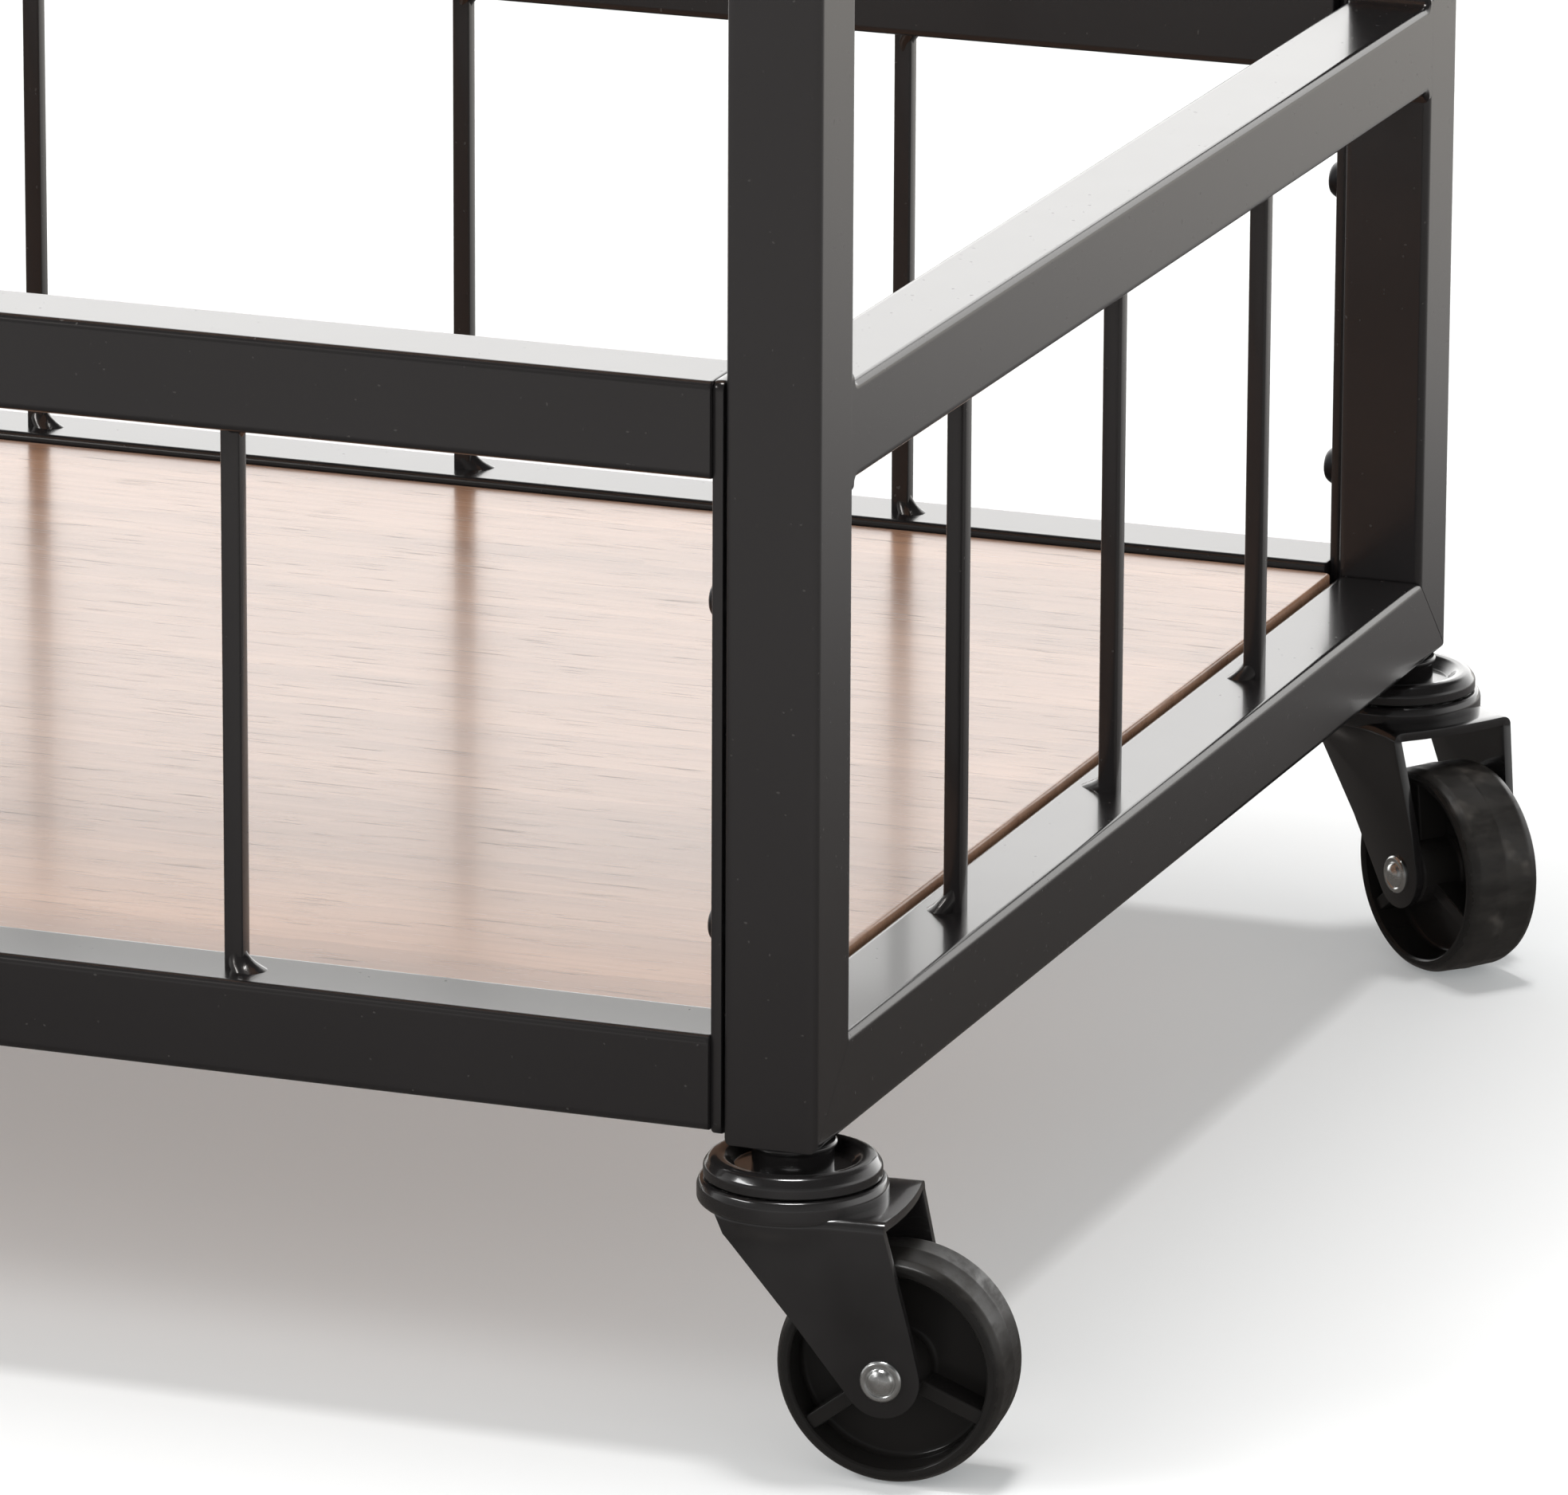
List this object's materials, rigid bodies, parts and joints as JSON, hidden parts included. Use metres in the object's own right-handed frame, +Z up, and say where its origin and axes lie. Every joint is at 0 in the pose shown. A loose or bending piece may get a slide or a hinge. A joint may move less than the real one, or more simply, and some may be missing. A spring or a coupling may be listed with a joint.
{
  "type": "bar cart",
  "caption": "Open two-tier bar cart: square-tube frame with rod galleries round walnut-finish shelves, rolling on small swivel casters.",
  "frame": {"origin": "on the floor, at the centre of the footprint", "axes": "+X along the length, +Y towards the back, +Z up"},
  "size_m": [0.8866, 0.433, 0.85],
  "materials": {
    "frame_paint": "satin black powder coat on mild steel tube",
    "shelf_walnut": "satin lacquered walnut veneer on board",
    "bolt_black": "black oxide steel",
    "plain_zinc": "zinc plated steel",
    "bearing_steel": "polished steel",
    "caster_enamel": "gloss black enamel on pressed steel",
    "axle_zinc": "bright zinc plated steel",
    "wheel_plastic": "black moulded plastic, tread slightly scuffed"
  },
  "bodies": {
    "cart_frame": {"post_front_left": "frame_paint", "post_rear_left": "frame_paint", "post_front_right": "frame_paint", "post_rear_right": "frame_paint", "left_bottom_rail": "frame_paint", "left_gallery_rail": "frame_paint", "left_upper_shelf_rail": "frame_paint", "left_top_rail": "frame_paint", "left_lower_rods": "frame_paint", "left_upper_rods": "frame_paint", "right_bottom_rail": "frame_paint", "right_gallery_rail": "frame_paint", "right_upper_shelf_rail": "frame_paint", "right_top_rail": "frame_paint", "right_lower_rods": "frame_paint", "right_upper_rods": "frame_paint", "front_lower_shelf_rail": "frame_paint", "front_lower_gallery_rail": "frame_paint", "front_lower_end_plates": "frame_paint", "front_lower_rods": "frame_paint", "front_upper_shelf_rail": "frame_paint", "front_upper_gallery_rail": "frame_paint", "front_upper_end_plates": "frame_paint", "front_upper_rods": "frame_paint", "rear_lower_shelf_rail": "frame_paint", "rear_lower_gallery_rail": "frame_paint", "rear_lower_end_plates": "frame_paint", "rear_lower_rods": "frame_paint", "rear_upper_shelf_rail": "frame_paint", "rear_upper_gallery_rail": "frame_paint", "rear_upper_end_plates": "frame_paint", "rear_upper_rods": "frame_paint", "lower_shelf_board": "shelf_walnut", "upper_shelf_board": "shelf_walnut", "shelf_tabs": "frame_paint", "shelf_screws": "plain_zinc", "panel_bolts": "bolt_black", "panel_inserts": "plain_zinc", "caster_bushes": "plain_zinc", "swivel_balls": "bearing_steel", "caster_stem_front_right": "caster_enamel", "raceway_cap_front_right": "caster_enamel", "caster_stem_rear_right": "caster_enamel", "raceway_cap_rear_right": "caster_enamel", "caster_stem_front_left": "caster_enamel", "raceway_cap_front_left": "caster_enamel", "caster_stem_rear_left": "caster_enamel", "raceway_cap_rear_left": "caster_enamel"},
    "swivel_front_right": {"caster_fork_front_right": "caster_enamel", "caster_axle_front_right": "axle_zinc"},
    "wheel_front_right": {"caster_wheel_front_right": "wheel_plastic"},
    "swivel_rear_right": {"caster_fork_rear_right": "caster_enamel", "caster_axle_rear_right": "axle_zinc"},
    "wheel_rear_right": {"caster_wheel_rear_right": "wheel_plastic"},
    "swivel_front_left": {"caster_fork_front_left": "caster_enamel", "caster_axle_front_left": "axle_zinc"},
    "wheel_front_left": {"caster_wheel_front_left": "wheel_plastic"},
    "swivel_rear_left": {"caster_fork_rear_left": "caster_enamel", "caster_axle_rear_left": "axle_zinc"},
    "wheel_rear_left": {"caster_wheel_rear_left": "wheel_plastic"}
  },
  "joints": [
    {"name": "swivel_front_right", "type": "hinge", "parent": "cart_frame", "child": "swivel_front_right", "pos_m": [0.3965, -0.197, 0.0605], "axis": [0, 0, 1], "continuous": true},
    {"name": "spin_front_right", "type": "hinge", "parent": "swivel_front_right", "child": "wheel_front_right", "pos_m": [0.41891, -0.19504, 0.024], "axis": [-0.0872, 0.9962, 0], "continuous": true},
    {"name": "swivel_rear_right", "type": "hinge", "parent": "cart_frame", "child": "swivel_rear_right", "pos_m": [0.3965, 0.197, 0.0605], "axis": [0, 0, 1], "continuous": true},
    {"name": "spin_rear_right", "type": "hinge", "parent": "swivel_rear_right", "child": "wheel_rear_right", "pos_m": [0.41423, 0.18315, 0.024], "axis": [0.6157, 0.788, 0], "continuous": true},
    {"name": "swivel_front_left", "type": "hinge", "parent": "cart_frame", "child": "swivel_front_left", "pos_m": [-0.3965, -0.197, 0.0605], "axis": [0, 0, 1], "continuous": true},
    {"name": "spin_front_left", "type": "hinge", "parent": "swivel_front_left", "child": "wheel_front_left", "pos_m": [-0.41891, -0.19504, 0.024], "axis": [-0.0872, -0.9962, 0], "continuous": true},
    {"name": "swivel_rear_left", "type": "hinge", "parent": "cart_frame", "child": "swivel_rear_left", "pos_m": [-0.3965, 0.197, 0.0605], "axis": [0, 0, 1], "continuous": true},
    {"name": "spin_rear_left", "type": "hinge", "parent": "swivel_rear_left", "child": "wheel_rear_left", "pos_m": [-0.41423, 0.18315, 0.024], "axis": [0.6157, -0.788, 0], "continuous": true}
  ]
}
